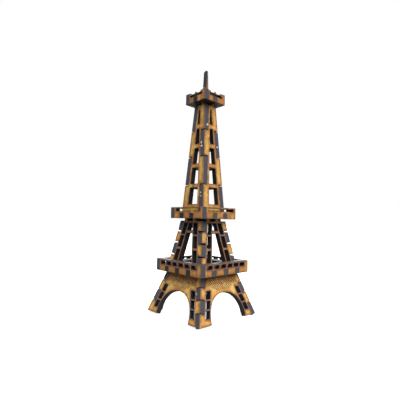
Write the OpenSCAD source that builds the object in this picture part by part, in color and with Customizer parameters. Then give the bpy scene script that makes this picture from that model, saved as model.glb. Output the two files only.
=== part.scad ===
// Miniature lattice tower: a souvenir slotted and glued together from laser-cut 3 mm sheet.
// Frame: +Z up, origin on the table under the centre of the tower, front is -Y, right is +X.
// The four sides of every stage are the same piece turned a quarter turn at a time.

/* [Sheet] */
// Thickness of the sheet that every piece is cut from
sheet = 3; // [2.8:0.1:3.2]
// Gap that the cutter leaves where two pieces meet
fit = 0.05; // [0.02:0.01:0.08]

/* [Lower stage] */
// Width across the legs, with their leaning outer faces produced down to the table
lower_foot_w = 44.7; // [43:0.1:46]
// Width of the lower stage where it meets the lower gallery
lower_head_w = 28.5; // [28:0.1:28.8]
// Half-width of the arch between two legs
arch_half_w = 13.2; // [12.5:0.1:13.3]
// Rise of the arch, along the panel
arch_rise = 14.6; // [13:0.1:15]
// Squareness of the arch's shoulders, where 2 is a plain ellipse
arch_power = 2.25; // [2:0.05:2.3]
// Depth that the sharp foot corners are sanded flat, so that the tower stands
foot_sanding = 0.1; // [0.05:0.05:0.3]
// Space at the end of each corner finger of the lower stage
lower_finger_gap = 0.3; // [0.2:0.05:0.6]

/* [Middle stage] */
// Width of the middle stage on the lower gallery's floor
middle_foot_w = 28.3; // [28:0.1:28.6]
// Width of the middle stage at its head
middle_head_w = 18.44; // [18.2:0.02:18.8]
// Space between the middle stage's head and the floor above it
middle_head_gap = 1.3; // [0.6:0.1:1.6]
// Space at the end of each corner finger of the middle stage
middle_finger_gap = 0.75; // [0.7:0.05:1]

/* [Upper stage] */
// Width of the upper stage on the middle gallery's floor
upper_foot_w = 17.7; // [17.4:0.1:18]
// Width of the upper stage at its head
upper_head_w = 8.86; // [8.8:0.02:9.1]
// Space between the upper stage's head and the floor above it
upper_head_gap = 0.9; // [0.5:0.1:1.2]
// Space at the end of each corner finger of the upper stage
upper_finger_gap = 0.4; // [0.3:0.05:0.6]

/* [Galleries] */
// Outer width of the lower gallery
lower_gallery_w = 37.5; // [37:0.1:38]
// Height of the lower gallery's underside above the table
lower_gallery_z = 24; // [23.8:0.1:24.2]
// Height of the lower gallery's walls
lower_gallery_h = 6.8; // [6.6:0.1:7.2]
// Outer width of the middle gallery
middle_gallery_w = 26.8; // [26.4:0.1:27.4]
// Height of the middle gallery's underside above the table
middle_gallery_z = 54.1; // [54:0.1:54.4]
// Height of the middle gallery's walls
middle_gallery_h = 6.4; // [6.2:0.1:6.8]
// Outer width of the top gallery
top_gallery_w = 16.5; // [16.3:0.1:16.8]
// Height of the top gallery's underside above the table
top_gallery_z = 121.8; // [121.6:0.1:122]
// Height of the top gallery's corners
top_gallery_h = 6.2; // [6:0.1:6.4]

/* [Spire] */
// Height of the spire's tip above the table
tower_h = 143.2; // [140:0.1:146]
// Width of the spire at its foot
spire_foot_w = 2.4; // [2.2:0.1:2.8]
// Width of the spire just under its tip
spire_head_w = 0.6; // [0.5:0.1:1]

/* [Hidden] */

// The four sides, as quarter turns from the front
FRONT = 0;
RIGHT = 1;
BACK = 2;
LEFT = 3;

panel_color = "#c98f3c";
wall_color = "#b97d38";
floor_color = "#5a3d22";

// Tabs that reach up or down into a floor stop this far short of its other face
tab_len = sheet - 0.4;

// Lean of each stage, and the height of each stage's floor
lower_lean = atan((lower_foot_w - lower_head_w) / 2 / lower_gallery_z);
middle_floor_z = lower_gallery_z + sheet;
middle_head_z = middle_gallery_z - middle_head_gap;
middle_lean = atan((middle_foot_w - middle_head_w) / 2 / (middle_head_z - middle_floor_z));
upper_floor_z = middle_gallery_z + sheet;
upper_head_z = top_gallery_z - upper_head_gap;
upper_lean = atan((upper_foot_w - upper_head_w) / 2 / (upper_head_z - upper_floor_z));

// Heights of the lower outside edge of each leaning panel: its inner edge rests on the floor
lower_edge_z = sheet * sin(lower_lean) - foot_sanding;
middle_edge_z = middle_floor_z + sheet * sin(middle_lean) + fit;
upper_edge_z = upper_floor_z + sheet * sin(upper_lean) + fit;

// Outer half-width of each stage at a height
function lower_half(z) = lower_foot_w / 2 - z * tan(lower_lean);
function middle_half(z) = middle_foot_w / 2 - (z - middle_floor_z) * tan(middle_lean);
function upper_half(z) = upper_foot_w / 2 - (z - upper_floor_z) * tan(upper_lean);

// Distance up a leaning panel from its lower edge to a height
function up_panel(z, edge_z, lean) = (z - edge_z) / cos(lean);

lower_len = up_panel(lower_gallery_z - fit, lower_edge_z, lower_lean);
middle_len = up_panel(middle_head_z, middle_edge_z, middle_lean);
upper_len = up_panel(upper_head_z, upper_edge_z, upper_lean);

// Corner fingers: distances up each panel where one panel's finger ends and the next one's begins
lower_cuts = [0, 6.85, 13.2, 19.1, lower_len];
middle_cuts = [0, 6.2, 13.1, 19.75, middle_len];
upper_cuts = [0, 16.2, 32.6, 48.3, upper_len];

// Windows of the lower legs: bottom and top of each, up the panel, and their inset from the corner
leg_windows = [[3.4, 7.05], [8.05, 11.75], [12.7, 16.45]];
leg_window_inset = 4.1;
leg_window_w = 3;

// Windows of the middle legs, given the same way
middle_windows = [[1.95, 9.2], [10.5, 17.1], [18, 24.4]];
middle_window_inset = 3.9;
middle_window_w = 3.2;
middle_rib = 0.9;
middle_cross_rail = [18.8, 20.05];

// Windows of the upper stage, one above the other and narrowing upwards
upper_windows = 5;
upper_window_start = 5;
upper_window_pitch = 11.75;
upper_window_h = 9.5;
upper_window_shrink = 0.2;
upper_window_foot_half = 4.03;
upper_window_taper = 0.0597;

// Tabs and slots: where they are along a side, and how wide
lower_head_tabs = [-5, 5];
lower_tab_w = 4;
middle_foot_tabs = [-9.5, 9.5];
middle_tab_w = 2.5;
middle_head_tabs = [-4.5, 2.4];
upper_foot_tabs = [-1.1];
upper_head_tabs = [2.1];
upper_tab_w = 2;
lower_floor_tabs = [-9.1, 0, 9.1];
middle_floor_tabs = [-3.6, 4.6];
top_floor_tabs = [0];

// Gallery windows: a row of small ones in the lower walls, one long slot in the others
wall_window_w = 3.9;
wall_window_z = [3.9, 5.8];
wall_window_pitch = 5.15;
wall_window_shift = 0.5;
wall_windows = 6;
middle_slot_z = [4.2, 5.65];
middle_slot_margin = 1.8;
top_slot_z = [3.45, 4.65];
top_slot_x = [-4.3, 5.6];
top_rail_z = 5.1;
top_teeth = [-4.3, 0.1, 4.75];
top_tooth_w = 1.8;
top_tooth_h = 1.1;

// The collar is a square of sheet inside the head of the middle stage
collar_w = 11.6;

// The spire's tenon, through the top floor
spire_tenon_w = 1.8;
spire_point = 0.9;

// One side edge of a leaning panel, from its foot up. Even or odd stretches are fingers, which reach
// the tower's corner; the others stop one sheet short, where the next panel's fingers lie.
// square_cut says that the fingers are cut square to the edge, and not level.
function corner_x(half, lean, up) = half - up * sin(lean);
function finger_tip(half, lean, up) = [corner_x(half, lean, up), up];
function finger_root(half, lean, up, square_cut) =
    let (
        depth = sheet / cos(lean) + fit,
        drop = square_cut ? depth * sin(lean) / (1 + pow(sin(lean), 2)) : 0
    )
    [corner_x(half, lean, up - drop) - depth, up - drop];
function finger_edge(half, lean, cuts, odd, gap, square_cut) =
    let (last = len(cuts) - 1)
    [
        for (i = [0 : last])
            let (
                finger_below = (i - 1) % 2 == odd,
                finger_above = i % 2 == odd,
                tip = finger_tip(half, lean, cuts[i]),
                root = [tip.x - sheet / cos(lean) - fit, tip.y],
                end_below = cuts[i] - gap / 2,
                end_above = cuts[i] + gap / 2
            )
            each i == 0 ? [finger_above ? tip : root]
                : i == last ? [finger_below ? tip : root]
                : finger_below
                    ? [finger_tip(half, lean, end_below), finger_root(half, lean, end_below, square_cut)]
                    : [finger_root(half, lean, end_above, square_cut), finger_tip(half, lean, end_above)]
    ];

// The flat outline of a leaning panel, with its corner fingers
module panel_outline(half, lean, cuts, gap, square_cut = false) {
    right = finger_edge(half, lean, cuts, 1, gap, square_cut);
    left = finger_edge(half, lean, cuts, 0, gap, square_cut);
    count = len(left);
    polygon(concat(right, [for (i = [count - 1 : -1 : 0]) [-left[i].x, left[i].y]]));
}

// Rectangular tabs or slots in a row, from one height to another
module row_of_tabs(centres, width, from, to) {
    for (x = centres)
        translate([x - width / 2, from])
            square([width, to - from]);
}

// Stands a flat outline on its edge, leaning inwards, with its outer face on the tower's front
module leaning_sheet(half, edge_z, lean) {
    translate([0, -half, edge_z])
        rotate([90 - lean, 0, 0])
            translate([0, 0, -sheet])
                linear_extrude(sheet)
                    children();
}

module on_side(side) {
    rotate([0, 0, 90 * side])
        children();
}

// The arch is a superellipse, so that its shoulders are a little squarer than an ellipse's
module arch_opening() {
    step = 4;
    power = 2 / arch_power;
    polygon([
        for (a = [0 : step : 180])
            [arch_half_w * sign(cos(a)) * pow(abs(cos(a)), power), arch_rise * pow(sin(a), power)],
        [-arch_half_w, -1],
        [arch_half_w, -1]
    ]);
}

// A slanted window between two distances from a panel's corner
module slanted_window(half, lean, low, high, inset, width) {
    polygon([
        for (p = [[inset + width, low], [inset, low], [inset, high], [inset + width, high]])
            [corner_x(half, lean, p[1]) - p[0], p[1]]
    ]);
}

// The row of windows in one leg
module leg_window_row(half, lean, spans, inset, width) {
    for (span = spans)
        slanted_window(half, lean, span[0], span[1], inset, width);
}

module lower_panel(side) {
    half = lower_half(lower_edge_z);
    color(panel_color)
        on_side(side)
            intersection() {
                leaning_sheet(half, lower_edge_z, lower_lean)
                    difference() {
                        union() {
                            panel_outline(half, lower_lean, lower_cuts, lower_finger_gap, true);
                            row_of_tabs(lower_head_tabs, lower_tab_w, lower_len - 1, lower_len + tab_len);
                        }
                        arch_opening();
                        leg_window_row(half, lower_lean, leg_windows, leg_window_inset, leg_window_w);
                        mirror([1, 0])
                            leg_window_row(half, lower_lean, leg_windows, leg_window_inset, leg_window_w);
                    }
                // The table side of the feet, sanded flat
                translate([-lower_foot_w, -lower_foot_w, 0])
                    cube([2 * lower_foot_w, 2 * lower_foot_w, tower_h]);
            }
}

// The opening between the two legs, from a height to another
module between_legs(half, lean, low, high) {
    inset = middle_window_inset + middle_window_w + middle_rib;
    polygon([
        for (p = [[1, low], [1, high], [-1, high], [-1, low]])
            [p[0] * (corner_x(half, lean, p[1]) - inset), p[1]]
    ]);
}

module middle_panel(side) {
    half = middle_half(middle_edge_z);
    color(panel_color)
        on_side(side)
            leaning_sheet(half, middle_edge_z, middle_lean)
                difference() {
                    union() {
                        panel_outline(half, middle_lean, middle_cuts, middle_finger_gap);
                        row_of_tabs(middle_foot_tabs, middle_tab_w, -tab_len, 1);
                        row_of_tabs(middle_head_tabs, middle_tab_w,
                            middle_len - 1, middle_len + middle_head_gap + tab_len);
                    }
                    leg_window_row(half, middle_lean, middle_windows, middle_window_inset, middle_window_w);
                    mirror([1, 0])
                        leg_window_row(half, middle_lean, middle_windows, middle_window_inset,
                            middle_window_w);
                    between_legs(half, middle_lean, middle_windows[0][0], middle_cross_rail[0]);
                    between_legs(half, middle_lean, middle_cross_rail[1], middle_windows[2][1]);
                }
}

// One window of the upper stage, counted from the bottom, with slanted sides
module upper_window(i) {
    low = upper_window_start + i * upper_window_pitch;
    high = low + upper_window_h - i * upper_window_shrink;
    low_half = upper_window_foot_half - low * upper_window_taper;
    high_half = upper_window_foot_half - high * upper_window_taper;
    polygon([[-low_half, low], [low_half, low], [high_half, high], [-high_half, high]]);
}

module upper_panel(side) {
    half = upper_half(upper_edge_z);
    color(panel_color)
        on_side(side)
            leaning_sheet(half, upper_edge_z, upper_lean)
                difference() {
                    union() {
                        panel_outline(half, upper_lean, upper_cuts, upper_finger_gap);
                        row_of_tabs(upper_foot_tabs, middle_tab_w, -tab_len, 1);
                        row_of_tabs(upper_head_tabs, upper_tab_w,
                            upper_len - 1, upper_len + upper_head_gap + tab_len);
                    }
                    for (i = [0 : upper_windows - 1])
                        upper_window(i);
                }
}

// A gallery wall: its right end runs over the next wall's left end, and notches in its bottom edge
// take the tabs of the floor. The children are cut out of it.
module gallery_wall(side, width, z, outline_h, notches) {
    left_end = -width / 2 + sheet + fit;
    color(wall_color)
        on_side(side)
            translate([0, -width / 2, z])
                rotate([90, 0, 0])
                    translate([0, 0, -sheet])
                        linear_extrude(sheet)
                            difference() {
                                union() {
                                    translate([left_end, 0])
                                        square([width / 2 - left_end, outline_h]);
                                    children(1);
                                }
                                row_of_tabs(notches, sheet + 2 * fit, -1, sheet + fit);
                                children(0);
                            }
}

module lower_gallery_wall(side) {
    gallery_wall(side, lower_gallery_w, lower_gallery_z, lower_gallery_h, lower_floor_tabs) {
        for (i = [0 : wall_windows - 1])
            translate([
                    (i - (wall_windows - 1) / 2) * wall_window_pitch + wall_window_shift - wall_window_w / 2,
                    wall_window_z[0]
                ])
                square([wall_window_w, wall_window_z[1] - wall_window_z[0]]);
        union() {}
    }
}

module middle_gallery_wall(side) {
    slot_left = -middle_gallery_w / 2 + sheet + middle_slot_margin;
    slot_right = middle_gallery_w / 2 - middle_slot_margin;
    gallery_wall(side, middle_gallery_w, middle_gallery_z, middle_gallery_h, middle_floor_tabs) {
        translate([slot_left, middle_slot_z[0]])
            square([slot_right - slot_left, middle_slot_z[1] - middle_slot_z[0]]);
        union() {}
    }
}

// The top walls have a low rail with pointed teeth, between ends of the full height
module top_gallery_wall(side) {
    half = top_gallery_w / 2;
    gallery_wall(side, top_gallery_w, top_gallery_z, top_rail_z, top_floor_tabs) {
        translate([top_slot_x[0], top_slot_z[0]])
            square([top_slot_x[1] - top_slot_x[0], top_slot_z[1] - top_slot_z[0]]);
        union() {
            for (x = top_teeth)
                translate([x, top_rail_z])
                    polygon([
                        [-top_tooth_w / 2, -0.1], [top_tooth_w / 2, -0.1],
                        [top_tooth_w / 2, 0], [0, top_tooth_h], [-top_tooth_w / 2, 0]
                    ]);
            translate([half - sheet + 0.4, 0])
                square([sheet - 0.4, top_gallery_h]);
        }
    }
}

// The plan of a floor: a square inside the walls, with tabs that reach through their notches
module floor_plan(width, tabs) {
    inner = width - 2 * sheet - 2 * fit;
    square(inner, center = true);
    for (side = [FRONT : LEFT])
        rotate(90 * side)
            for (x = tabs)
                translate([x - sheet / 2, -width / 2])
                    square([sheet, width / 2]);
}

// Slots in a floor for the tabs of a leaning stage, from its outer face to its inner face
module tab_slots(tabs, width, outer, inner) {
    for (side = [FRONT : LEFT])
        rotate(90 * side)
            for (x = tabs)
                translate([x - width / 2 - fit, -outer - fit])
                    square([width + 2 * fit, outer - inner + 2 * fit]);
}

module lower_gallery_floor() {
    color(floor_color)
        translate([0, 0, lower_gallery_z])
            linear_extrude(sheet)
                difference() {
                    floor_plan(lower_gallery_w, lower_floor_tabs);
                    tab_slots(lower_head_tabs, lower_tab_w, lower_half(lower_gallery_z),
                        lower_half(lower_gallery_z + tab_len) - sheet / cos(lower_lean));
                    tab_slots(middle_foot_tabs, middle_tab_w, middle_half(lower_gallery_z),
                        middle_half(middle_floor_z) - sheet / cos(middle_lean));
                }
}

module middle_gallery_collar() {
    color(floor_color)
        translate([-collar_w / 2, -collar_w / 2, middle_gallery_z - sheet])
            cube([collar_w, collar_w, sheet]);
}

module middle_gallery_floor() {
    color(floor_color)
        translate([0, 0, middle_gallery_z])
            linear_extrude(sheet)
                difference() {
                    floor_plan(middle_gallery_w, middle_floor_tabs);
                    tab_slots(middle_head_tabs, middle_tab_w, middle_half(middle_gallery_z),
                        middle_half(middle_gallery_z + tab_len) - sheet / cos(middle_lean));
                    tab_slots(upper_foot_tabs, middle_tab_w, upper_half(middle_gallery_z),
                        upper_half(upper_floor_z) - sheet / cos(upper_lean));
                }
}

module top_gallery_floor() {
    color(floor_color)
        translate([0, 0, top_gallery_z])
            linear_extrude(sheet)
                difference() {
                    floor_plan(top_gallery_w, top_floor_tabs);
                    tab_slots(upper_head_tabs, upper_tab_w, upper_half(top_gallery_z),
                        upper_half(top_gallery_z + tab_len) - sheet / cos(upper_lean));
                    square([sheet + 2 * fit, spire_tenon_w + 2 * fit], center = true);
                }
}

// The spire is one tapering strip of sheet, seen edge-on from the front, with a blunt point
module spire_mast() {
    foot_z = top_gallery_z + sheet;
    shoulder_z = tower_h - spire_point;
    color(panel_color)
        rotate([90, 0, 90])
            translate([0, 0, -sheet / 2])
                linear_extrude(sheet)
                    polygon([
                        [-spire_tenon_w / 2, top_gallery_z + fit], [spire_tenon_w / 2, top_gallery_z + fit],
                        [spire_tenon_w / 2, foot_z], [spire_foot_w / 2, foot_z],
                        [spire_head_w / 2, shoulder_z], [0, tower_h], [-spire_head_w / 2, shoulder_z],
                        [-spire_foot_w / 2, foot_z], [-spire_tenon_w / 2, foot_z]
                    ]);
}

lower_panel(FRONT);  // lower_panel_front
lower_panel(RIGHT);  // lower_panel_right
lower_panel(BACK);  // lower_panel_back
lower_panel(LEFT);  // lower_panel_left
lower_gallery_floor();
lower_gallery_wall(FRONT);  // lower_gallery_wall_front
lower_gallery_wall(RIGHT);  // lower_gallery_wall_right
lower_gallery_wall(BACK);  // lower_gallery_wall_back
lower_gallery_wall(LEFT);  // lower_gallery_wall_left
middle_panel(FRONT);  // middle_panel_front
middle_panel(RIGHT);  // middle_panel_right
middle_panel(BACK);  // middle_panel_back
middle_panel(LEFT);  // middle_panel_left
middle_gallery_collar();
middle_gallery_floor();
middle_gallery_wall(FRONT);  // middle_gallery_wall_front
middle_gallery_wall(RIGHT);  // middle_gallery_wall_right
middle_gallery_wall(BACK);  // middle_gallery_wall_back
middle_gallery_wall(LEFT);  // middle_gallery_wall_left
upper_panel(FRONT);  // upper_panel_front
upper_panel(RIGHT);  // upper_panel_right
upper_panel(BACK);  // upper_panel_back
upper_panel(LEFT);  // upper_panel_left
top_gallery_floor();
top_gallery_wall(FRONT);  // top_gallery_wall_front
top_gallery_wall(RIGHT);  // top_gallery_wall_right
top_gallery_wall(BACK);  // top_gallery_wall_back
top_gallery_wall(LEFT);  // top_gallery_wall_left
spire_mast();
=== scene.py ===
"""Looks of a miniature lattice tower, cut from 3 mm fibreboard by laser, slotted together and glued.

Each cut piece is rebuilt from the outline of its own CAD node: softened arrises, slightly uneven laser
cuts, sanded feet and engraved lattice work, with scorched-fibreboard materials made from nodes.
Lengths inside this script are millimetres in the row frame; MM turns them into scene metres.
"""

import math

import bpy
import numpy as np
from mathutils import Matrix, Vector, noise
from mathutils.geometry import delaunay_2d_cdt


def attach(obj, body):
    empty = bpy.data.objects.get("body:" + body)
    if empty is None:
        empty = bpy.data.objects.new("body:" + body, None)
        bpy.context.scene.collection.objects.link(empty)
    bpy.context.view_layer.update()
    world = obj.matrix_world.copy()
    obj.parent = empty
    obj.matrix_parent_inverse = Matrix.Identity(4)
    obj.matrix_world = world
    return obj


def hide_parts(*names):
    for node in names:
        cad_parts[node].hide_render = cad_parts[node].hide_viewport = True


MM = 0.001
SHEET = 3.0

SIDES = ("front", "right", "back", "left")
UP = Vector((0, 0, 1))

# Slack when a node's thickness and the directions of its faces are read back
THICKNESS_SLACK = 0.05
SAME_FACE = 0.999
SAME_DIRECTION = 0.99999

# Cut edges: how far the arris is cut back, on panels and walls and on floors
ARRIS = 0.09
FLOOR_ARRIS = 0.03
MITRE_LIMIT = 0.6

# Corners in the outline: their radius, and the most of an edge that a rounded corner takes
CORNER_RADIUS = 0.14
CORNER_SHARE = 0.3
CORNER_STEPS = 3
SHARP_TURN = math.radians(20)

# The laser's path: how far it strays, over what length, and what sets one shape's path apart
WOBBLE = 0.022
WOBBLE_LENGTH = 1.3
SHAPE_SEED = 1.7

# Points along the outline: the spacing, the shortest step that is kept, and the least turn that is
EDGE_STEP = 0.45
TINY_STEP = 0.05
LEAST_TURN = 1e-3

# Spacing of the points on the outer and the inner face, and how near a cut they come, in spacings
FACE_STEP = 0.34
FACE_MARGIN = 0.42
BACK_STEP = 1.6
BACK_MARGIN = 0.4

# Folds sharper than this stay crisp when the rest is shaded smooth
CRISP_FOLD = math.radians(32)

# Half-width under an arch, how dark its cut edge is beside the cut edges of windows, and how fast
# the darkening fades as an edge turns outwards. The dark is smoke of the cutting with painted shade at
# windows, and mostly painted shade on the arch.
ARCH_HALF_W = 12.5
ARCH_SOOT_AND_SHADE = 0.86
SOOT_AND_SHADE_FADE = 1.6

# Small windows have a smoky rim: up to this many square millimetres, in these pieces. Beyond the
# distance that follows, how far a window is makes no difference.
WINDOW_AREA = 40
RIMMED_PIECES = ("lower_panel", "lower_gallery_wall", "middle_panel")
FAR_FROM_WINDOWS = 9.0

# Engraved lattice of the lower panels: its cells, and its grooves with their skips
CELL_W = 1.65
CELL_H = 1.3
LINE_SPACING = CELL_W * CELL_H / math.hypot(CELL_W, CELL_H)
GROOVE_HALF = 0.30
GROOVE_FLOOR = 0.12
GROOVE_DEPTH = 0.13
SKIP_SEED = 4
SKIP_LENGTH = 1.1
SKIP_SHARE = 0.9
SHALLOWEST = 0.25

# Where the lattice lies: a band under the gallery, and a fainter apron between it and the arch.
# Its points run a little past its border, and stay clear of the cuts.
BAND_HALF_W = 12.8
BAND_FOOT_Z = 18.2
BAND_FADE = 1.2
APRON_HALF_W = 4.6
APRON_FOOT_Z = 15.2
APRON_SLOPE = 0.5
APRON_SHARE = 0.8
BORDER_MARGIN = 0.35
CUT_CLEARANCE = 0.16

# The spire: radius that its tip is rubbed round to, length of its charred end, and soot on its edges
TIP_RADIUS = 1.3
SPIRE_CHAR_LENGTH = 13
SPIRE_SOOT = 0.25

# Brightness of the plain room round the object
ROOM_LIGHT = 0.3

# Places of the face, the cut edge and the inner side in each piece's list of materials
FACE, CUT, BACK = 0, 1, 2


# ---------------------------------------------------------------- flat pieces from their CAD nodes

class Sheet:
    """The directions and the outline of one flat piece, read from its CAD node."""

    def __init__(self, node):
        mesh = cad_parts[node].data
        self.node = node
        self.engraved = node.startswith("lower_panel")
        self.out = self.outward(mesh)
        sideways = UP.cross(self.out)
        lies_level = sideways.length < 0.1
        self.across = Vector((1, 0, 0)) if lies_level else sideways.normalized()
        self.up = self.out.cross(self.across)
        self.face = max(v.co.dot(self.out) for v in mesh.vertices) / MM
        self.loops = self.outline(mesh)

    @staticmethod
    def outward(mesh):
        """The direction that the piece is one sheet thick in, away from the frame's origin."""
        areas = {}
        for polygon in mesh.polygons:
            key = tuple(round(c, 3) for c in polygon.normal)
            areas[key] = areas.get(key, 0) + polygon.area
        for key in sorted(areas, key=areas.get, reverse=True):
            normal = Vector(key).normalized()
            depths = [v.co.dot(normal) / MM for v in mesh.vertices]
            if abs(max(depths) - min(depths) - SHEET) < THICKNESS_SLACK:
                break
        exact = next(p.normal for p in mesh.polygons if p.normal.dot(normal) > SAME_DIRECTION)
        middle = sum((v.co for v in mesh.vertices), Vector()) / len(mesh.vertices)
        # The spire stands on the tower's axis, so a nudge to the right picks its right-hand face
        towards = middle + Vector((MM, 0, 0))
        return -exact if exact.dot(towards) < 0 else exact.copy()

    def flat(self, point):
        """A point's distances across and up the sheet."""
        return (round(point.dot(self.across) / MM, 3), round(point.dot(self.up) / MM, 3))

    def outline(self, mesh):
        """Closed loops round the outer face, with the sheet always on the left of each edge."""
        edges = set()
        for polygon in mesh.polygons:
            if polygon.normal.dot(self.out) < SAME_FACE:
                continue
            ring = [self.flat(mesh.vertices[i].co) for i in polygon.vertices]
            edges.update(zip(ring, ring[1:] + ring[:1]))
        follows = {a: b for a, b in edges if (b, a) not in edges}
        loops = []
        while follows:
            here = min(follows)
            loop = []
            while here in follows:
                loop.append(Vector(here))
                here = follows.pop(here)
            loops.append(without_idle_points(loop))
        return loops

    def place(self, points):
        """Scene positions of rows of (across, up, depth below the outer face)."""
        axes = np.array([self.across, self.up, -self.out])
        return (points @ axes + np.array(self.out) * self.face) * MM

    def height(self, up, depth=0.0):
        """Height above the table of a point that lies up the sheet."""
        return self.up.z * up + self.out.z * (self.face - depth)


def without_idle_points(loop):
    """The loop without points in a straight run and without steps too small to see."""
    apart = [here for _, here, after in neighbours(loop) if (after - here).length > TINY_STEP]
    kept = []
    for before, here, after in neighbours(apart):
        if abs((here - before).normalized().cross((after - here).normalized())) > LEAST_TURN:
            kept.append(here)
    return kept


def neighbours(loop):
    """Each point of a closed loop, between the one before it and the one after it."""
    return zip(loop[-1:] + loop[:-1], loop, loop[1:] + loop[:1])


def softened(loop, radius):
    """The loop with its corners rounded, as a laser leaves them; the shallow turns of a curve stay."""
    points = []
    for before, here, after in neighbours(loop):
        back = before - here
        on = after - here
        turn = math.pi - back.angle(on)
        if turn < SHARP_TURN:
            points.append(here)
            continue
        reach = min(radius * math.tan(turn / 2), CORNER_SHARE * back.length, CORNER_SHARE * on.length)
        start = here + back.normalized() * reach
        end = here + on.normalized() * reach
        for i in range(CORNER_STEPS + 1):
            t = i / CORNER_STEPS
            points.append(start * (1 - t) ** 2 + here * (2 * t * (1 - t)) + end * t ** 2)
    return points


def in_steps(loop, step):
    """The loop with long edges divided."""
    points = []
    for _, here, after in neighbours(loop):
        count = max(1, math.ceil((after - here).length / step))
        points += [here.lerp(after, i / count) for i in range(count)]
    return points


def moved_inwards(loop, distance):
    """The loop offset towards the sheet; distance is a number, or one per point."""
    distances = distance if hasattr(distance, "__len__") else [distance] * len(loop)
    points = []
    for (before, here, after), amount in zip(neighbours(loop), distances):
        first = (here - before).normalized()
        second = (after - here).normalized()
        inward = Vector((-first.y - second.y, first.x + second.x)).normalized()
        stretch = max(MITRE_LIMIT, inward.dot(Vector((-first.y, first.x))))
        points.append(here + inward * (amount / stretch))
    return points


def uneven(loop, seed):
    """The loop with the small waviness of a hand-fed laser cutter."""
    shifts = [WOBBLE * noise.noise(Vector((p.x, p.y, seed)) / WOBBLE_LENGTH) for p in loop]
    return moved_inwards(loop, shifts)


def segments(loops):
    """The two ends of every edge of the loops."""
    return [(a, b) for loop in loops for a, b in zip(loop, loop[1:] + loop[:1])]


def is_inside(loops, points):
    """Even-odd test of rows of (x, y) against the loops."""
    inside = np.zeros(len(points), bool)
    x, y = points[:, 0], points[:, 1]
    for a, b in segments(loops):
        if a.y == b.y:
            continue
        crosses = (a.y > y) != (b.y > y)
        inside ^= crosses & (x < (b.x - a.x) * (y - a.y) / (b.y - a.y) + a.x)
    return inside


def distance_to(loops, points):
    """Distance of rows of (x, y) to the nearest edge of the loops."""
    nearest = np.full(len(points), np.inf)
    for a, b in segments(loops):
        run = np.array(b - a)
        offset = points - np.array(a)
        t = np.clip(offset @ run / max(run @ run, 1e-9), 0, 1)
        nearest = np.minimum(nearest, np.linalg.norm(offset - t[:, None] * run, axis=1))
    return nearest


def scattered(loops, step, margin):
    """Points in staggered rows inside the loops, more than the margin from an edge."""
    corners = np.array([p for loop in loops for p in loop])
    low, high = corners.min(0), corners.max(0)
    rise = step * math.sqrt(3) / 2
    rows = np.arange(low[1], high[1], rise)
    grid = np.array([
        (x, y)
        for i, y in enumerate(rows)
        for x in np.arange(low[0] + (i % 2) * step / 2, high[0], step)
    ])
    grid = grid[is_inside(loops, grid)]
    return grid[distance_to(loops, grid) > margin]


# ---------------------------------------------------------------- engraved lattice

def lattice_lines(x, z):
    """Positions of a point across the two families of lattice lines, in line spacings."""
    return x / CELL_W + z / CELL_H, x / CELL_W - z / CELL_H


def engraved_share(x, z):
    """1 in the band under the gallery, less in the apron over the arch, 0 elsewhere."""
    apron_foot = APRON_FOOT_Z + APRON_SLOPE * np.maximum(np.abs(x) - APRON_HALF_W, 0)
    apron = np.clip((z - apron_foot) / BAND_FADE, 0, 1) * (np.abs(x) < BAND_HALF_W - BAND_FADE)
    return np.maximum(toned_share(x, z), APRON_SHARE * apron)


def toned_share(x, z):
    """1 in the band under the gallery, where the engraving has browned the board, 0 elsewhere."""
    from_side = BAND_HALF_W - np.abs(x)
    return np.clip((z - BAND_FOOT_Z) / BAND_FADE, 0, 1) * np.clip(from_side / BAND_FADE, 0, 1)


def groove_depth(x, z):
    """Depth of the engraving at rows of points, from 0 to 1: V-shaped grooves with a narrow floor."""
    nearest = np.full(len(x), np.inf)
    for lines in lattice_lines(x, z):
        nearest = np.minimum(nearest, np.abs(lines - np.round(lines)) * LINE_SPACING)
    slope = np.clip((GROOVE_HALF - nearest) / (GROOVE_HALF - GROOVE_FLOOR), 0, 1)
    skips = np.array([noise.noise(Vector((a, b, SKIP_SEED)) / SKIP_LENGTH) for a, b in zip(x, z)])
    return slope * engraved_share(x, z) * np.clip(1 + SKIP_SHARE * skips, SHALLOWEST, 1)


def lattice_points(sheet, loops):
    """Points along the floors and the shoulders of the grooves, so that their edges come out crisp."""
    floor = GROOVE_FLOOR / LINE_SPACING
    shoulder = GROOVE_HALF / LINE_SPACING
    steps = (0, floor, shoulder, 0.5, 1 - shoulder, 1 - floor)
    top = max(p.y for loop in loops for p in loop)
    foot = min(p.y for loop in loops for p in loop)
    reach = int(BAND_HALF_W / CELL_W + sheet.height(top) / CELL_H) + 2
    points = []
    for i in range(-reach, reach):
        for j in range(-reach, reach):
            for first in steps:
                for second in steps:
                    across = (i + first + j + second) * CELL_W / 2
                    height = (i + first - j - second) * CELL_H / 2
                    points.append((across, height))
    points = np.array(points)
    near = np.zeros(len(points), bool)
    for dx, dz in ((0, 0), (BORDER_MARGIN, 0), (-BORDER_MARGIN, 0), (0, BORDER_MARGIN)):
        near |= engraved_share(points[:, 0] + dx, points[:, 1] + dz) > 0
    points = points[near]
    level = sheet.height(foot)
    points[:, 1] = foot + (points[:, 1] - level) / sheet.up.z
    points = points[is_inside(loops, points)]
    return points[distance_to(loops, points) > CUT_CLEARANCE]


# ---------------------------------------------------------------- meshes

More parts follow.
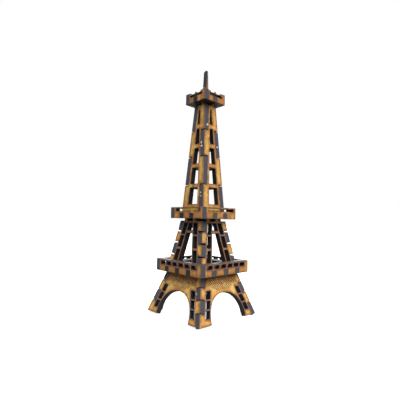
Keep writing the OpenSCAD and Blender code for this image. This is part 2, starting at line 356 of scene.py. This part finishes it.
def filled(rings, loose):
    """Triangles between the rings that use every ring point and every loose point.

    Gives the points, ring points first, and counter-clockwise triangles, or None if rings cross.
    """
    points = [Vector(p) for ring in rings for p in ring] + [Vector(p) for p in loose]
    edges = []
    first = 0
    for ring in rings:
        count = len(ring)
        edges += [(first + i, first + (i + 1) % count) for i in range(count)]
        first += count
    _, _, triangles, origins, _, _ = delaunay_2d_cdt(points, edges, [], 0, 1e-6)
    if not all(origins):
        return None
    source = [o[0] for o in origins]
    flat = np.array([tuple(p) for p in points])
    faces = np.array([[source[i] for i in t] for t in triangles])
    kept = faces[is_inside(rings, flat[faces].mean(1))]
    a, b, c = flat[kept[:, 0]], flat[kept[:, 1]], flat[kept[:, 2]]
    turn = (b[:, 0] - a[:, 0]) * (c[:, 1] - a[:, 1]) - (b[:, 1] - a[:, 1]) * (c[:, 0] - a[:, 0])
    kept[turn < 0] = kept[turn < 0][:, ::-1]
    return flat, kept


def edge_depths(sheet, arris):
    """Depths of the rings round the cut edge, with one where sanded feet begin."""
    depths = [0.0, arris, SHEET / 2, SHEET - arris, SHEET]
    foot = min(p.y for loop in sheet.loops for p in loop)
    # Before it is sanded, the inner edge of a leaning foot would reach below the table
    sanded = sheet.height(foot, SHEET) < -0.01
    if sanded:
        depths[2] = sheet.height(foot) / sheet.out.z
    return depths


def cut_loops(sheet, seed):
    """The loops of the cut edge, the same loops inside the arris, and the arris, which fits them all."""
    plain = [in_steps(softened(loop, CORNER_RADIUS), EDGE_STEP) for loop in sheet.loops]
    hidden = sheet.node.endswith(("floor", "collar"))
    cut = plain if hidden else [uneven(loop, seed) for loop in plain]
    arris = FLOOR_ARRIS if hidden else ARRIS
    inset = [moved_inwards(loop, arris) for loop in cut]
    while filled(inset, []) is None:
        arris /= 2
        inset = [moved_inwards(loop, arris) for loop in cut]
    return cut, inset, arris


def face_scatter(sheet, inset):
    """Points inside the outer face: an even scatter, with the lattice's own points where it is engraved."""
    loose = scattered(inset, FACE_STEP, FACE_STEP * FACE_MARGIN)
    if not sheet.engraved:
        return loose
    plain_area = engraved_share(loose[:, 0], sheet.height(loose[:, 1])) == 0
    return np.vstack([loose[plain_area], lattice_points(sheet, inset)])


def stacked(face_points, groove, cut, depths, back_points):
    """All points from the outer face down to the inner one, and the row that each level starts at."""
    ring = np.array([tuple(p) for loop in cut for p in loop])
    levels = [np.column_stack([face_points, groove * GROOVE_DEPTH])]
    levels += [np.column_stack([ring, np.full(len(ring), depth)]) for depth in depths[1:-1]]
    levels.append(np.column_stack([back_points, np.full(len(back_points), SHEET)]))
    starts = [0] + np.cumsum([len(level) for level in levels])[:-1].tolist()
    return np.vstack(levels), starts


def edge_faces(cut, starts):
    """The four-sided faces between each ring of the cut edge and the next one down."""
    faces = []
    for upper, lower in zip(starts, starts[1:]):
        first = 0
        for loop in cut:
            size = len(loop)
            for i in range(size):
                a = first + i
                b = first + (i + 1) % size
                faces.append((upper + a, lower + a, lower + b, upper + b))
            first += size
    return faces


def build_flat_piece(sheet, seed):
    """Points, faces, surfaces and point values of a flat piece, in the sheet's own directions."""
    cut, inset, arris = cut_loops(sheet, seed)
    face_points, face = filled(inset, face_scatter(sheet, inset))
    back_points, back = filled(inset, scattered(inset, BACK_STEP, BACK_STEP * BACK_MARGIN))
    groove = np.zeros(len(face_points))
    if sheet.engraved:
        groove = groove_depth(face_points[:, 0], sheet.height(face_points[:, 1]))
    points, starts = stacked(face_points, groove, cut, edge_depths(sheet, arris), back_points)
    edge = edge_faces(cut, starts)
    faces = [tuple(t) for t in face] + edge + [tuple(starts[-1] + t[::-1]) for t in back]
    surfaces = [FACE] * len(face) + [CUT] * len(edge) + [BACK] * len(back)
    return points, faces, surfaces, point_values(sheet, cut, points, starts, groove)


def point_values(sheet, cut, points, starts, groove):
    """What the materials read at each point.

    rim and cut are distances from small windows and from any cut; toned and groove are shares of the
    engraving; along is the place along a cut edge, and the last value is how dark the edge is there: smoke
    of the cutting with painted shade.
    """
    flat = points[:, :2]
    face_end, back_start = starts[1], starts[-1]
    rimmed = sheet.node.startswith(RIMMED_PIECES)
    windows = [loop for loop in cut if rimmed and -WINDOW_AREA < loop_area(loop) < 0]
    rim = distance_to(windows, flat) if windows else np.full(len(points), FAR_FROM_WINDOWS)
    toned = np.zeros(len(points))
    if sheet.engraved:
        toned = toned_share(points[:, 0], sheet.height(points[:, 1]))
    values = {
        "rim": np.minimum(rim, FAR_FROM_WINDOWS),
        "toned": toned,
        "cut": np.concatenate([
            distance_to(cut, flat[:face_end]),
            np.zeros(back_start - face_end),
            distance_to(cut, flat[back_start:]),
        ]),
        "groove": np.concatenate([groove, np.zeros(len(points) - face_end)]),
        "along": np.zeros(len(points)),
        "soot": np.zeros(len(points)),
    }
    along = np.concatenate([run_length(loop) for loop in cut])
    soot = np.concatenate([soot_and_shade_levels(loop) for loop in cut])
    for start in starts:
        values["along"][start:start + len(along)] = along
        values["soot"][start:start + len(soot)] = soot
    return values


def run_length(loop):
    """Distance along the loop of each of its points."""
    steps = [(b - a).length for a, b in zip(loop, loop[1:] + loop[:1])]
    return np.concatenate([[0], np.cumsum(steps)[:-1]])


def loop_area(loop):
    """Area inside a loop, negative for a hole."""
    return sum(a.cross(b) for a, b in zip(loop, loop[1:] + loop[:1])) / 2


def soot_and_shade_levels(loop):
    """How dark each cut edge is, from smoke of the cutting and painted shade: 1 at the edges of windows,
    less on outline edges that face down under the arch or in towards the middle, 0 on the other outer
    edges.
    """
    if loop_area(loop) < 0:
        return np.ones(len(loop))
    levels = []
    for before, here, after in neighbours(loop):
        outward = Vector((after.y - before.y, before.x - after.x)).normalized()
        facing_middle = -outward.x * math.copysign(1, here.x)
        under = -outward.y if abs(here.x) < ARCH_HALF_W else 0
        levels.append(ARCH_SOOT_AND_SHADE * min(1, max(0, SOOT_AND_SHADE_FADE * facing_middle, SOOT_AND_SHADE_FADE * under)))
    return np.array(levels)


def rubbed_tip(sheet, shape):
    """The spire's shape with the ends of its tip rubbed round, and darker towards the tip."""
    points, faces, surfaces, values = shape
    points = points.copy()
    heights = sheet.height(points[:, 1])
    top = heights.max()
    below_tip = np.clip(top - heights, 0, TIP_RADIUS)
    half = SHEET / 2 - TIP_RADIUS + np.sqrt(TIP_RADIUS ** 2 - (TIP_RADIUS - below_tip) ** 2)
    points[:, 2] = SHEET / 2 + (points[:, 2] - SHEET / 2) * half / (SHEET / 2)
    values = dict(values)
    values["cut"] = values["cut"] * np.clip((top - heights) / SPIRE_CHAR_LENGTH, 0, 1)
    values["soot"] = np.full(len(points), SPIRE_SOOT)
    return points, faces, surfaces, values


def make_piece(name, sheet, shape, look):
    """A scene object that stands for its CAD node, from a shape in the sheet's own directions."""
    points, faces, surfaces, values = shape
    placed = sheet.place(points)
    below = placed[:, 2] < 0
    if below.any():
        # Feet are sanded flat: what is under the table moves up the sheet to the table
        placed[below] -= np.outer(placed[below, 2] / sheet.up.z, np.array(sheet.up))
    mesh = bpy.data.meshes.new(name)
    mesh.from_pydata(placed.tolist(), [], faces)
    for material in look:
        mesh.materials.append(material)
    mesh.polygons.foreach_set("material_index", surfaces)
    mesh.polygons.foreach_set("use_smooth", [True] * len(faces))
    for value_name, numbers in values.items():
        attribute = mesh.attributes.new(value_name, "FLOAT", "POINT")
        attribute.data.foreach_set("value", numbers.astype(np.float32))
    mesh.set_sharp_from_angle(angle=CRISP_FOLD)
    mesh.validate()
    piece = bpy.data.objects.new(name, mesh)
    bpy.context.scene.collection.objects.link(piece)
    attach(piece, "root")
    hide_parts(sheet.node)
    return piece


# ---------------------------------------------------------------- materials

def linear(red, green, blue):
    """Scene-linear colour from 8-bit display values."""
    parts = [c / 255 for c in (red, green, blue)]
    return [p / 12.92 if p <= 0.04045 else ((p + 0.055) / 1.055) ** 2.4 for p in parts] + [1.0]


class Nodes:
    """A short way to write a material's nodes."""

    def __init__(self, name):
        self.material = bpy.data.materials.new(name)
        self.material.use_nodes = True
        self.tree = self.material.node_tree
        self.shader = self.tree.nodes["Principled BSDF"]
        self.place = self.tree.nodes.new("ShaderNodeTexCoord").outputs["Object"]

    def set(self, node, values):
        """Give a node's inputs their values, or link them to another node's output."""
        for key, value in values.items():
            if isinstance(value, bpy.types.NodeSocket):
                self.tree.links.new(value, node.inputs[key])
            else:
                node.inputs[key].default_value = value

    def value(self, name):
        """A value that the mesh holds at each point."""
        node = self.tree.nodes.new("ShaderNodeAttribute")
        node.attribute_name = name
        return node.outputs["Fac"]

    def stretched(self, scale):
        """The place on the object, scaled along each axis."""
        node = self.tree.nodes.new("ShaderNodeMapping")
        self.set(node, {"Vector": self.place, "Scale": scale})
        return node.outputs["Vector"]

    def noise(self, size, detail=3.0, rough=0.55, where=None, warp=0.0):
        """Noise with features of a size in millimetres, from 0 to 1."""
        node = self.tree.nodes.new("ShaderNodeTexNoise")
        where = where or self.place
        self.set(node, {"Vector": where, "Scale": 1 / (size * MM), "Detail": detail, "Roughness": rough,
                        "Distortion": warp})
        return node.outputs["Fac"]

    def math(self, operation, first, second):
        """Arithmetic on two values."""
        node = self.tree.nodes.new("ShaderNodeMath")
        node.operation = operation
        self.set(node, {0: first, 1: second})
        return node.outputs[0]

    def spread(self, value, low, high, to_low=0.0, to_high=1.0):
        """The value with low to high turned into to_low to to_high, and kept between them."""
        node = self.tree.nodes.new("ShaderNodeMapRange")
        self.set(node, {"Value": value, "From Min": low, "From Max": high, "To Min": to_low,
                        "To Max": to_high})
        return node.outputs["Result"]

    def ramp(self, value, stops):
        """A colour for each value, between stops of place and display colour."""
        node = self.tree.nodes.new("ShaderNodeValToRGB")
        band = node.color_ramp
        while len(band.elements) < len(stops):
            band.elements.new(0.5)
        for element, (place, colour) in zip(band.elements, stops):
            element.position = place
            element.color = linear(*colour)
        self.set(node, {"Fac": value})
        return node.outputs["Color"]

    def mix(self, share, first, second):
        """The first colour with a share of the second."""
        node = self.tree.nodes.new("ShaderNodeMix")
        node.data_type = "RGBA"
        self.set(node, {0: share, 6: first, 7: second})
        return node.outputs[2]

    def bump(self, height, distance, strength):
        """A surface roughened by a height, up to a distance in millimetres."""
        node = self.tree.nodes.new("ShaderNodeBump")
        self.set(node, {"Height": height, "Distance": distance * MM, "Strength": strength})
        return node.outputs["Normal"]

    def finish(self, **inputs):
        """Set the shader's inputs, named with _ for each space, and give the material."""
        named = {key.replace("_", " "): value for key, value in inputs.items()}
        self.set(self.shader, named)
        return self.material


# Colour of a scorched face by distance from the cut, as shares of SCORCH_REACH millimetres
SCORCH_REACH = 3.2
PANEL_SCORCH = (
    (0.0, (60, 38, 32)),
    (0.05, (98, 58, 42)),
    (0.13, (146, 86, 44)),
    (0.28, (186, 124, 55)),
    (0.50, (214, 166, 86)),
    (1.0, (230, 198, 120)),
)
WALL_SCORCH = (
    (0.0, (56, 36, 32)),
    (0.06, (92, 54, 42)),
    (0.16, (138, 80, 46)),
    (0.36, (176, 112, 54)),
    (0.70, (190, 126, 66)),
    (1.0, (203, 142, 76)),
)

# Dark, middle and light tones of the charred cut edges
SLATE_CHAR = ((45, 44, 50), (77, 75, 82), (113, 110, 117))
BLUE_CHAR = ((36, 42, 52), (62, 71, 86), (88, 98, 116))

# Colours laid over the ramps
RUST = (150, 84, 44)
DEEP_RUST = (112, 62, 38)
BRIGHT_GOLD = (240, 206, 122)
SMOKY_RIM = (104, 90, 92)
BROWN_HAZE = (122, 76, 56)
ENGRAVED_TONE = (158, 88, 42)
BURNT_GROOVE = (100, 46, 24)
WARM_ASH = (92, 82, 82)
# Near-black for cut edges: smoke of the cutting, and painted shade on the edges of windows and arches
SOOT_AND_SHADE_BLACK = (17, 19, 20)

# Dark and light tones of the inner sides and the floors' undersides: smoke of the cutting, with painted
# shade that makes them nearly black
PANEL_SMOKE_AND_SHADE = ((9, 9, 12), (30, 25, 25))
WALL_SMOKE_AND_SHADE = ((12, 11, 14), (38, 30, 28))
FLOOR_SMOKE_AND_SHADE = ((22, 20, 20), (58, 46, 38))

# Tones of the glue where it is thin and where it is thick
PALE_GLUE = ((168, 156, 128), (226, 220, 198))
# Greyer, darker tones for the beads low on the lower stage
GREY_GLUE = ((104, 100, 86), (150, 148, 132))

# Width of the streaks on a cut edge, in millimetres
STREAK = 0.26


def scorched_face(name, stops, rust, haze):
    """Golden board face: charred hairline at each cut, scorch that fades inwards, rusty clouds and fibre.

    rust is how far the clouds cover the gold; haze is how brown it is round small windows.
    """
    n = Nodes(name)
    patches = n.noise(2.3, 3, warp=0.5)
    spots = n.noise(1.5, 3, 0.6)
    fibre = n.noise(0.16, 4, 0.7)
    colour = scorch(n, stops, patches)
    colour = clouded(n, colour, rust, spots, fibre)
    colour = smoked_rims(n, colour, haze, spots)
    colour = engraved(n, colour, patches)
    return n.finish(Base_Color=colour, Roughness=n.spread(fibre, 0.2, 0.8, 0.5, 0.68),
                    Normal=n.bump(fibre, 0.02, 0.6), Specular_IOR_Level=0.35)


def scorch(n, stops, patches):
    """Colour by distance from the nearest cut, reaching further in some patches than in others."""
    cut = n.value("cut")
    reach = n.spread(patches, 0.3, 0.7, -0.65, 0.6)
    distance = n.math("ADD", cut, n.math("MULTIPLY", reach, n.math("MINIMUM", cut, 1.2)))
    return n.ramp(n.math("DIVIDE", distance, SCORCH_REACH), stops)


def clouded(n, colour, rust, spots, fibre):
    """The colour with bright patches, rusty clouds and spots, upright streaks and pale fibres."""
    glow = n.noise(3.1, 2, where=n.stretched((1, 1, 0.5)))
    colour = n.mix(n.spread(glow, 0.52, 0.72, 0.0, 0.55), colour, linear(*BRIGHT_GOLD))
    clouds = n.noise(6.5, 3, warp=0.4)
    colour = n.mix(n.spread(clouds, 0.5, 0.72, 0.0, rust), colour, linear(*RUST))
    colour = n.mix(n.spread(spots, 0.56, 0.78, 0.0, 0.7 * rust), colour, linear(*DEEP_RUST))
    streaks = n.noise(0.5, 3, where=n.stretched((1, 1, 0.07)))
    colour = n.mix(n.spread(streaks, 0.4, 0.75, 0.0, 0.34), colour, linear(*RUST))
    return n.mix(n.spread(fibre, 0.35, 0.7, 0.0, 0.22), colour, linear(*BRIGHT_GOLD))


def smoked_rims(n, colour, haze, spots):
    """The colour with a brown haze and a thin grey rim round small windows."""
    rim = n.math("ADD", n.value("rim"), n.spread(spots, 0.3, 0.7, -0.25, 0.25))
    colour = n.mix(n.spread(rim, 0.2, 1.5, haze, 0.0), colour, linear(*BROWN_HAZE))
    return n.mix(n.spread(rim, 0.25, 0.62, 0.85, 0.0), colour, linear(*SMOKY_RIM))


def engraved(n, colour, patches):
    """The colour browned where the lattice is engraved, with burnt grooves."""
    toned = n.math("MULTIPLY", n.value("toned"), n.spread(patches, 0.3, 0.7, 0.2, 0.55))
    colour = n.mix(toned, colour, linear(*ENGRAVED_TONE))
    burnt = n.noise(0.7, 2)
    groove = n.math("MULTIPLY", n.value("groove"), n.spread(burnt, 0.3, 0.65, 0.75, 1.2))
    return n.mix(n.math("MINIMUM", groove, 1.0), colour, linear(*BURNT_GROOVE))


def charred_cut(name, dark, middle, light):
    """Laser-cut edge: grey char with streaks through the thickness and a faint satin sheen."""
    n = Nodes(name)
    grain = n.noise(0.22, 4, 0.65)
    patches = n.noise(1.9, 2)
    colour = n.ramp(n.spread(grain, 0.25, 0.8), (
        (0.0, dark),
        (0.5, middle),
        (1.0, light),
    ))
    colour = n.mix(n.spread(patches, 0.5, 0.8, 0.0, 0.3), colour, linear(*WARM_ASH))
    # Painted shade: window and arch edges are darkened towards near-black, along with the smoke of the
    # cutting
    soot = n.math("MULTIPLY", n.value("soot"), n.spread(patches, 0.2, 0.8, 1.0, 0.85))
    colour = n.mix(soot, colour, linear(*SOOT_AND_SHADE_BLACK))
    streak_place = n.tree.nodes.new("ShaderNodeCombineXYZ")
    n.set(streak_place, {"X": n.value("along")})
    # The place along an edge is in millimetres already, so MM is taken out of the noise's size
    streaks = n.noise(STREAK / MM, 2, where=streak_place.outputs[0])
    height = n.math("ADD", n.math("MULTIPLY", streaks, 0.7), n.math("MULTIPLY", grain, 0.5))
    normal = n.bump(height, 0.05, 0.8)
    return n.finish(Base_Color=colour, Roughness=n.spread(grain, 0.2, 0.8, 0.36, 0.56), Normal=normal,
                    Specular_IOR_Level=0.45)


def smoked_and_shaded_back(name, dark, light, amber=0.0):
    """Inner side of the sheet, nearly black: smoke of the cutting, with painted shade for the dark inside
    of the tower, and a share of amber patches.
    """
    n = Nodes(name)
    smoke = n.noise(3.2, 3)
    fibre = n.noise(0.2, 3, 0.7)
    share = n.math("ADD", n.math("MULTIPLY", smoke, 0.75), n.math("MULTIPLY", fibre, 0.25))
    # Painted shade: the ramp's near-black tones stand for the shade inside the tower, together with smoke
    colour = n.ramp(n.spread(share, 0.3, 0.75), ((0.0, dark), (1.0, light)))
    amber_patches = n.noise(2.4, 3, warp=0.5)
    colour = n.mix(n.spread(amber_patches, 0.52, 0.68, 0.0, amber), colour, linear(*RUST))
    return n.finish(Base_Color=colour, Roughness=n.spread(fibre, 0.2, 0.8, 0.7, 0.9),
                    Normal=n.bump(fibre, 0.02, 0.5), Specular_IOR_Level=0.08)


def dried_glue(name, thin, thick):
    """Clear wood glue that has dried in cloudy beads."""
    n = Nodes(name)
    cloud = n.noise(0.5, 2)
    colour = n.ramp(cloud, ((0.3, thin), (0.7, thick)))
    return n.finish(Base_Color=colour, Roughness=0.22, Normal=n.bump(cloud, 0.04, 0.4),
                    Coat_Weight=0.4, Coat_Roughness=0.1)


def pale_floor(name):
    """White floor that glows a little, so that hardly any shadow shows on it."""
    n = Nodes(name)
    tone = n.noise(60, 2)
    colour = n.ramp(tone, ((0.0, (250, 250, 250)), (1.0, (255, 255, 255))))
    return n.finish(Base_Color=colour, Roughness=0.9, Specular_IOR_Level=0.0,
                    Emission_Color=(1, 1, 1, 1), Emission_Strength=0.7)


# ---------------------------------------------------------------- glue beads

# Rings and segments of a bead, how uneven it is, and what sets one bead apart from the next
BEAD_RINGS = 9
BEAD_SEGMENTS = 14
BEAD_SWELL = 0.3
BEAD_UNEVENNESS = 1.4
BEAD_SEED = 3.1

# The bead on the front of the spire: its place and its half-sizes, in millimetres
SPIRE_BEAD = (-0.45, -0.8, 132.4)
SPIRE_BEAD_SIZE = (0.3, 0.35, 0.25)


def unit_ball():
    """Points and faces of a ball of radius 1, with its two poles as the last points."""
    points = []
    for i in range(1, BEAD_RINGS):
        for j in range(BEAD_SEGMENTS):
            lift = math.pi * i / BEAD_RINGS
            turn = 2 * math.pi * j / BEAD_SEGMENTS
            points.append(Vector((math.sin(lift) * math.cos(turn), math.sin(lift) * math.sin(turn),
                                  math.cos(lift))))
    points += [UP, -UP]
    bottom = len(points) - 1
    top = bottom - 1
    lowest_ring = (BEAD_RINGS - 2) * BEAD_SEGMENTS
    faces = []
    for j in range(BEAD_SEGMENTS):
        on = (j + 1) % BEAD_SEGMENTS
        faces.append((top, j, on))
        for i in range(BEAD_RINGS - 2):
            upper = i * BEAD_SEGMENTS
            lower = upper + BEAD_SEGMENTS
            faces.append((upper + j, lower + j, lower + on, upper + on))
        faces.append((lowest_ring + on, lowest_ring + j, bottom))
    return points, faces


def bead(name, place, size, outward, material, seed):
    """A squashed, uneven drop of glue that sits half in the joint."""
    points, faces = unit_ball()
    turn = UP.rotation_difference(outward)
    width, height, lift = size
    shaped = []
    for p in points:
        swell = 1 + BEAD_SWELL * noise.noise(p * BEAD_UNEVENNESS + Vector((seed, 0, 0)))
        side = Vector((p.x * width, p.y * height, p.z * lift)) * swell
        shaped.append((Vector(place) + turn @ side) * MM)
    mesh = bpy.data.meshes.new(name)
    mesh.from_pydata([tuple(p) for p in shaped], [], faces)
    mesh.polygons.foreach_set("use_smooth", [True] * len(faces))
    mesh.materials.append(material)
    mesh.validate()
    piece = bpy.data.objects.new(name, mesh)
    bpy.context.scene.collection.objects.link(piece)
    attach(piece, "root")


def half_width(stage, height):
    """Outer half-width of a leaning stage at a height."""
    sheet = sheets[f"{stage}_panel_front"]
    return (sheet.face - height * sheet.out.z) / -sheet.out.y


def add_beads(pale, grey):
    """Beads on the joints round the near corner, and one on the spire.

    Each is given by stage, side, end, distance from that end's corner, height, half-sizes and material.
    """
    spots = (
        ("upper", "right", -1, 2.3, 108.3, (0.75, 0.8, 0.45), pale),
        ("upper", "front", 1, 2.45, 97.7, (0.5, 0.85, 0.4), pale),
        ("upper", "front", 1, 2.2, 95.6, (0.65, 0.7, 0.45), pale),
        ("upper", "right", 1, 1.6, 96.2, (0.7, 0.75, 0.4), pale),
        ("upper", "front", 1, 2.1, 68.7, (0.4, 0.5, 0.3), pale),
        ("upper", "front", 1, 1.9, 66.7, (0.4, 0.45, 0.3), pale),
        ("lower", "front", 1, 3.1, 15.2, (0.75, 0.8, 0.4), grey),
        ("lower", "right", -1, 4.3, 15.6, (0.3, 0.5, 0.25), grey),
    )
    for i, (stage, side, end, inset, height, size, material) in enumerate(spots):
        sheet = sheets[f"{stage}_panel_{side}"]
        half = half_width(stage, height)
        flat = Vector((sheet.out.x, sheet.out.y, 0)).normalized()
        place = flat * half + sheet.across * end * (half - inset) + UP * height
        bead(f"glue_bead_{i + 1}", place, size, sheet.out, material, BEAD_SEED * i)
    bead("glue_bead_spire", SPIRE_BEAD, SPIRE_BEAD_SIZE, Vector((0, -1, 0)), pale, 1.0)


# ---------------------------------------------------------------- light, floor and camera

def soft_sun(name, azimuth, elevation, strength, spread, colour):
    """Light from a compass direction, 0 over the front and 90 over the right, all angles in degrees."""
    lamp = bpy.data.lights.new(name, "SUN")
    lamp.energy = strength
    lamp.angle = math.radians(spread)
    lamp.color = colour
    lit = bpy.data.objects.new(name, lamp)
    turn, lift = math.radians(azimuth), math.radians(elevation)
    back = Vector((math.sin(turn) * math.cos(lift), -math.cos(turn) * math.cos(lift), math.sin(lift)))
    lit.rotation_euler = (-back).to_track_quat("-Z", "Y").to_euler()
    bpy.context.scene.collection.objects.link(lit)


def add_lights():
    """A big soft light over the front right corner and two fainter ones, in a dim room.

    The camera sees the room as white, but the tower is lit by less.
    """
    warm = (1.0, 0.99, 0.97)
    cool = (0.96, 0.98, 1.0)
    soft_sun("key", azimuth=63, elevation=44, strength=3.65, spread=52, colour=warm)
    soft_sun("overhead", azimuth=200, elevation=80, strength=0.45, spread=90, colour=cool)
    soft_sun("behind", azimuth=225, elevation=20, strength=1.6, spread=50, colour=cool)
    world = bpy.data.worlds.new("white_room")
    world.use_nodes = True
    tree = world.node_tree
    background = tree.nodes["Background"]
    background.inputs["Color"].default_value = (1, 1, 1, 1)
    path = tree.nodes.new("ShaderNodeLightPath")
    brightness = tree.nodes.new("ShaderNodeMapRange")
    tree.links.new(path.outputs["Is Camera Ray"], brightness.inputs["Value"])
    brightness.inputs["To Min"].default_value = ROOM_LIGHT
    brightness.inputs["To Max"].default_value = 1.0
    tree.links.new(brightness.outputs["Result"], background.inputs["Strength"])
    bpy.context.scene.world = world
    bpy.context.scene.view_settings.view_transform = "Standard"


def add_floor():
    """A round floor that the camera sees, and that neither lights the tower nor shades it."""
    mesh = bpy.data.meshes.new("floor")
    radius = 2.5
    sides = 64
    turns = [2 * math.pi * i / sides for i in range(sides)]
    rim = [(radius * math.cos(turn), radius * math.sin(turn), 0) for turn in turns]
    mesh.from_pydata(rim, [], [tuple(range(sides))])
    mesh.materials.append(pale_floor("pale_floor"))
    floor = bpy.data.objects.new("floor", mesh)
    bpy.context.scene.collection.objects.link(floor)
    floor.visible_diffuse = False
    floor.visible_glossy = False
    floor.visible_shadow = False


def add_camera():
    """The photograph's view, fitted to the corners of the galleries and stages."""
    azimuth = math.radians(46.17)
    distance = 0.1931
    height = 0.0536
    turn = math.radians(-0.585)
    tilt = math.radians(3.40)
    roll = math.radians(1.21)
    focal_px = 328.9
    image_px = 400
    towards = Vector((-math.sin(azimuth), math.cos(azimuth), 0))
    side = towards.cross(UP)
    ahead = towards * math.cos(turn) + side * math.sin(turn)
    side = ahead.cross(UP)
    look = ahead * math.cos(tilt) + UP * math.sin(tilt)
    top = side.cross(look)
    right = side * math.cos(roll) + top * math.sin(roll)
    top = top * math.cos(roll) - side * math.sin(roll)
    data = bpy.data.cameras.new("camera")
    data.sensor_width = 36
    data.lens = focal_px * data.sensor_width / image_px
    data.clip_start = 0.005
    data.clip_end = 20
    camera = bpy.data.objects.new("camera", data)
    camera.matrix_world = Matrix((
        (right.x, top.x, -look.x, distance * math.sin(azimuth)),
        (right.y, top.y, -look.y, -distance * math.cos(azimuth)),
        (right.z, top.z, -look.z, height),
        (0, 0, 0, 1),
    ))
    bpy.context.scene.collection.objects.link(camera)
    bpy.context.scene.camera = camera


# ---------------------------------------------------------------- the tower

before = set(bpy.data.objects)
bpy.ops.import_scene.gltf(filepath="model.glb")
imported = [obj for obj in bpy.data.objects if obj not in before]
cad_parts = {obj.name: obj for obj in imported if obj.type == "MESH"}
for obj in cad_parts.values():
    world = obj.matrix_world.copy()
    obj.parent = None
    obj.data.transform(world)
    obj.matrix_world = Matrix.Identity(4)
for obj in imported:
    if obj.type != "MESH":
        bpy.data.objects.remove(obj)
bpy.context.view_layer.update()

panel_look = [
    scorched_face("mdf_panel_face", PANEL_SCORCH, rust=0.62, haze=0.25),
    charred_cut("mdf_panel_cut", *SLATE_CHAR),
    smoked_and_shaded_back("mdf_panel_back", *PANEL_SMOKE_AND_SHADE),
]
wall_look = [
    scorched_face("mdf_wall_face", WALL_SCORCH, rust=0.8, haze=0.55),
    charred_cut("mdf_wall_cut", *SLATE_CHAR),
    smoked_and_shaded_back("mdf_wall_back", *WALL_SMOKE_AND_SHADE),
]
floor_look = [
    scorched_face("mdf_floor_face", WALL_SCORCH, rust=0.75, haze=0.3),
    charred_cut("mdf_floor_cut", *SLATE_CHAR),
    smoked_and_shaded_back("mdf_floor_back", *FLOOR_SMOKE_AND_SHADE, amber=0.7),
]
spire_look = [panel_look[FACE], charred_cut("mdf_spire_cut", *BLUE_CHAR), panel_look[BACK]]


def look_and_slot(node):
    """The materials of a piece, and the name of a slot for them."""
    if "_wall_" in node:
        return wall_look, "mdf_wall"
    if "_panel_" in node:
        return panel_look, "mdf_panel"
    if node == "spire_mast":
        return spire_look, "mdf_panel"
    return floor_look, "mdf_floor"


def kind_of(node):
    """The name that the four sides of a stage share, since they are cut to one shape."""
    return node.rsplit("_", 1)[0] if node.endswith(SIDES) else node


sheets = {node: Sheet(node) for node in sorted(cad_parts)}
shapes = {}
for node, sheet in sheets.items():
    kind = kind_of(node)
    if kind not in shapes:
        shapes[kind] = build_flat_piece(sheet, SHAPE_SEED * len(shapes))
    if node == "spire_mast":
        shapes[kind] = rubbed_tip(sheet, shapes[kind])
    look, slot = look_and_slot(node)
    piece = make_piece(f"{node}_board", sheet, shapes[kind], look)

add_beads(dried_glue("dried_glue", *PALE_GLUE), dried_glue("grey_glue", *GREY_GLUE))
add_floor()
add_lights()
add_camera()
